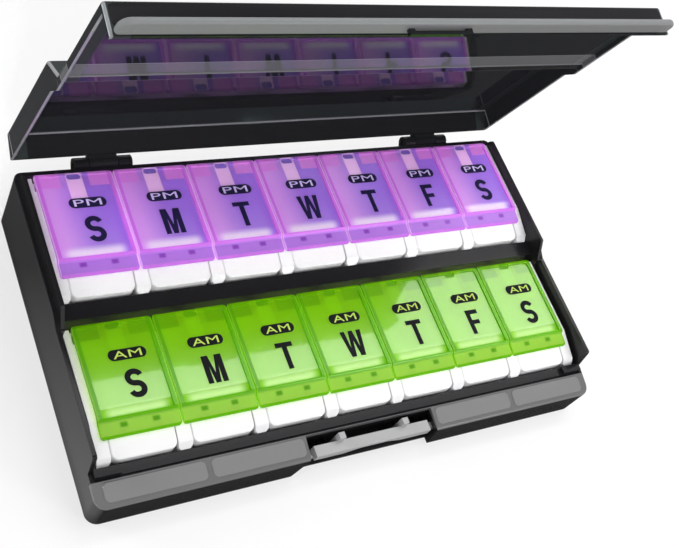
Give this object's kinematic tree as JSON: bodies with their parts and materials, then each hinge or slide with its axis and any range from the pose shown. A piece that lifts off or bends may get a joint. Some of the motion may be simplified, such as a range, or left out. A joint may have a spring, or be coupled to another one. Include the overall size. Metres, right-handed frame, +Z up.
{
  "type": "weekly pill organizer",
  "caption": "Hinged black pill case, open, with a violet evening row and a green morning row of snap-lid compartments, a white push button before each lid and a latch in front.",
  "frame": {"origin": "Middle of the flat underside of the case, on the table", "axes": "X runs along the rows from Sunday to Saturday, Y from the latch to the hinges, Z up"},
  "size_m": [0.2216, 0.1386, 0.1458],
  "materials": {
    "case_black": "polished black moulding",
    "lid_smoke": "smoky near-black, polished",
    "tray_white": "satin white moulding",
    "lid_violet": "translucent violet",
    "lid_green": "translucent lime green",
    "latch_grey": "dark grey moulding",
    "spring_steel": "blued spring steel"
  },
  "bodies": {
    "case": {"case_base": "case_black", "lid_hinge_pin_left": "spring_steel", "lid_hinge_pin_right": "spring_steel", "latch_springs": "spring_steel", "pm_tray": "tray_white", "am_tray": "tray_white", "pm_lid_springs": "tray_white", "am_lid_springs": "tray_white", "pm_button_spring_sunday": "spring_steel", "pm_button_spring_monday": "spring_steel", "pm_button_spring_tuesday": "spring_steel", "pm_button_spring_wednesday": "spring_steel", "pm_button_spring_thursday": "spring_steel", "pm_button_spring_friday": "spring_steel", "pm_button_spring_saturday": "spring_steel", "am_button_spring_sunday": "spring_steel", "am_button_spring_monday": "spring_steel", "am_button_spring_tuesday": "spring_steel", "am_button_spring_wednesday": "spring_steel", "am_button_spring_thursday": "spring_steel", "am_button_spring_friday": "spring_steel", "am_button_spring_saturday": "spring_steel"},
    "lid": {"case_lid": "lid_smoke"},
    "latch": {"latch_button": "latch_grey"},
    "pm_lid_sunday": {"pm_lid_sunday": "lid_violet"},
    "pm_button_sunday": {"pm_button_sunday": "tray_white"},
    "pm_lid_monday": {"pm_lid_monday": "lid_violet"},
    "pm_button_monday": {"pm_button_monday": "tray_white"},
    "pm_lid_tuesday": {"pm_lid_tuesday": "lid_violet"},
    "pm_button_tuesday": {"pm_button_tuesday": "tray_white"},
    "pm_lid_wednesday": {"pm_lid_wednesday": "lid_violet"},
    "pm_button_wednesday": {"pm_button_wednesday": "tray_white"},
    "pm_lid_thursday": {"pm_lid_thursday": "lid_violet"},
    "pm_button_thursday": {"pm_button_thursday": "tray_white"},
    "pm_lid_friday": {"pm_lid_friday": "lid_violet"},
    "pm_button_friday": {"pm_button_friday": "tray_white"},
    "pm_lid_saturday": {"pm_lid_saturday": "lid_violet"},
    "pm_button_saturday": {"pm_button_saturday": "tray_white"},
    "am_lid_sunday": {"am_lid_sunday": "lid_green"},
    "am_button_sunday": {"am_button_sunday": "tray_white"},
    "am_lid_monday": {"am_lid_monday": "lid_green"},
    "am_button_monday": {"am_button_monday": "tray_white"},
    "am_lid_tuesday": {"am_lid_tuesday": "lid_green"},
    "am_button_tuesday": {"am_button_tuesday": "tray_white"},
    "am_lid_wednesday": {"am_lid_wednesday": "lid_green"},
    "am_button_wednesday": {"am_button_wednesday": "tray_white"},
    "am_lid_thursday": {"am_lid_thursday": "lid_green"},
    "am_button_thursday": {"am_button_thursday": "tray_white"},
    "am_lid_friday": {"am_lid_friday": "lid_green"},
    "am_button_friday": {"am_button_friday": "tray_white"},
    "am_lid_saturday": {"am_lid_saturday": "lid_green"},
    "am_button_saturday": {"am_button_saturday": "tray_white"}
  },
  "joints": [
    {"name": "lid_hinge", "type": "hinge", "parent": "case", "child": "lid", "pos_m": [0, 0.0658, 0.0264], "axis": [-1, 0, 0], "range_deg": [-76.5, 35]},
    {"name": "latch_slide", "type": "slide", "parent": "case", "child": "latch", "axis": [0, 1, 0], "range_m": [0, 0.0016], "stiffness_N_per_m": 300, "deforming": ["latch_springs"]},
    {"name": "pm_lid_sunday_hinge", "type": "hinge", "parent": "case", "child": "pm_lid_sunday", "pos_m": [-0.09, 0.0566, 0.0278], "axis": [-1, 0, 0], "range_deg": [0, 100]},
    {"name": "pm_button_sunday_slide", "type": "slide", "parent": "case", "child": "pm_button_sunday", "axis": [0, 0, -1], "range_m": [0, 0.002], "stiffness_N_per_m": 200, "deforming": ["pm_button_spring_sunday"]},
    {"name": "pm_lid_monday_hinge", "type": "hinge", "parent": "case", "child": "pm_lid_monday", "pos_m": [-0.06, 0.0566, 0.0278], "axis": [-1, 0, 0], "range_deg": [0, 100]},
    {"name": "pm_button_monday_slide", "type": "slide", "parent": "case", "child": "pm_button_monday", "axis": [0, 0, -1], "range_m": [0, 0.002], "stiffness_N_per_m": 200, "deforming": ["pm_button_spring_monday"]},
    {"name": "pm_lid_tuesday_hinge", "type": "hinge", "parent": "case", "child": "pm_lid_tuesday", "pos_m": [-0.03, 0.0566, 0.0278], "axis": [-1, 0, 0], "range_deg": [0, 100]},
    {"name": "pm_button_tuesday_slide", "type": "slide", "parent": "case", "child": "pm_button_tuesday", "axis": [0, 0, -1], "range_m": [0, 0.002], "stiffness_N_per_m": 200, "deforming": ["pm_button_spring_tuesday"]},
    {"name": "pm_lid_wednesday_hinge", "type": "hinge", "parent": "case", "child": "pm_lid_wednesday", "pos_m": [0, 0.0566, 0.0278], "axis": [-1, 0, 0], "range_deg": [0, 100]},
    {"name": "pm_button_wednesday_slide", "type": "slide", "parent": "case", "child": "pm_button_wednesday", "axis": [0, 0, -1], "range_m": [0, 0.002], "stiffness_N_per_m": 200, "deforming": ["pm_button_spring_wednesday"]},
    {"name": "pm_lid_thursday_hinge", "type": "hinge", "parent": "case", "child": "pm_lid_thursday", "pos_m": [0.03, 0.0566, 0.0278], "axis": [-1, 0, 0], "range_deg": [0, 100]},
    {"name": "pm_button_thursday_slide", "type": "slide", "parent": "case", "child": "pm_button_thursday", "axis": [0, 0, -1], "range_m": [0, 0.002], "stiffness_N_per_m": 200, "deforming": ["pm_button_spring_thursday"]},
    {"name": "pm_lid_friday_hinge", "type": "hinge", "parent": "case", "child": "pm_lid_friday", "pos_m": [0.06, 0.0566, 0.0278], "axis": [-1, 0, 0], "range_deg": [0, 100]},
    {"name": "pm_button_friday_slide", "type": "slide", "parent": "case", "child": "pm_button_friday", "axis": [0, 0, -1], "range_m": [0, 0.002], "stiffness_N_per_m": 200, "deforming": ["pm_button_spring_friday"]},
    {"name": "pm_lid_saturday_hinge", "type": "hinge", "parent": "case", "child": "pm_lid_saturday", "pos_m": [0.09, 0.0566, 0.0278], "axis": [-1, 0, 0], "range_deg": [0, 100]},
    {"name": "pm_button_saturday_slide", "type": "slide", "parent": "case", "child": "pm_button_saturday", "axis": [0, 0, -1], "range_m": [0, 0.002], "stiffness_N_per_m": 200, "deforming": ["pm_button_spring_saturday"]},
    {"name": "am_lid_sunday_hinge", "type": "hinge", "parent": "case", "child": "am_lid_sunday", "pos_m": [-0.09, -0.0019, 0.02], "axis": [-1, 0, 0], "range_deg": [0, 100]},
    {"name": "am_button_sunday_slide", "type": "slide", "parent": "case", "child": "am_button_sunday", "axis": [0, 0, -1], "range_m": [0, 0.002], "stiffness_N_per_m": 200, "deforming": ["am_button_spring_sunday"]},
    {"name": "am_lid_monday_hinge", "type": "hinge", "parent": "case", "child": "am_lid_monday", "pos_m": [-0.06, -0.0019, 0.02], "axis": [-1, 0, 0], "range_deg": [0, 100]},
    {"name": "am_button_monday_slide", "type": "slide", "parent": "case", "child": "am_button_monday", "axis": [0, 0, -1], "range_m": [0, 0.002], "stiffness_N_per_m": 200, "deforming": ["am_button_spring_monday"]},
    {"name": "am_lid_tuesday_hinge", "type": "hinge", "parent": "case", "child": "am_lid_tuesday", "pos_m": [-0.03, -0.0019, 0.02], "axis": [-1, 0, 0], "range_deg": [0, 100]},
    {"name": "am_button_tuesday_slide", "type": "slide", "parent": "case", "child": "am_button_tuesday", "axis": [0, 0, -1], "range_m": [0, 0.002], "stiffness_N_per_m": 200, "deforming": ["am_button_spring_tuesday"]},
    {"name": "am_lid_wednesday_hinge", "type": "hinge", "parent": "case", "child": "am_lid_wednesday", "pos_m": [0, -0.0019, 0.02], "axis": [-1, 0, 0], "range_deg": [0, 100]},
    {"name": "am_button_wednesday_slide", "type": "slide", "parent": "case", "child": "am_button_wednesday", "axis": [0, 0, -1], "range_m": [0, 0.002], "stiffness_N_per_m": 200, "deforming": ["am_button_spring_wednesday"]},
    {"name": "am_lid_thursday_hinge", "type": "hinge", "parent": "case", "child": "am_lid_thursday", "pos_m": [0.03, -0.0019, 0.02], "axis": [-1, 0, 0], "range_deg": [0, 100]},
    {"name": "am_button_thursday_slide", "type": "slide", "parent": "case", "child": "am_button_thursday", "axis": [0, 0, -1], "range_m": [0, 0.002], "stiffness_N_per_m": 200, "deforming": ["am_button_spring_thursday"]},
    {"name": "am_lid_friday_hinge", "type": "hinge", "parent": "case", "child": "am_lid_friday", "pos_m": [0.06, -0.0019, 0.02], "axis": [-1, 0, 0], "range_deg": [0, 100]},
    {"name": "am_button_friday_slide", "type": "slide", "parent": "case", "child": "am_button_friday", "axis": [0, 0, -1], "range_m": [0, 0.002], "stiffness_N_per_m": 200, "deforming": ["am_button_spring_friday"]},
    {"name": "am_lid_saturday_hinge", "type": "hinge", "parent": "case", "child": "am_lid_saturday", "pos_m": [0.09, -0.0019, 0.02], "axis": [-1, 0, 0], "range_deg": [0, 100]},
    {"name": "am_button_saturday_slide", "type": "slide", "parent": "case", "child": "am_button_saturday", "axis": [0, 0, -1], "range_m": [0, 0.002], "stiffness_N_per_m": 200, "deforming": ["am_button_spring_saturday"]}
  ]
}
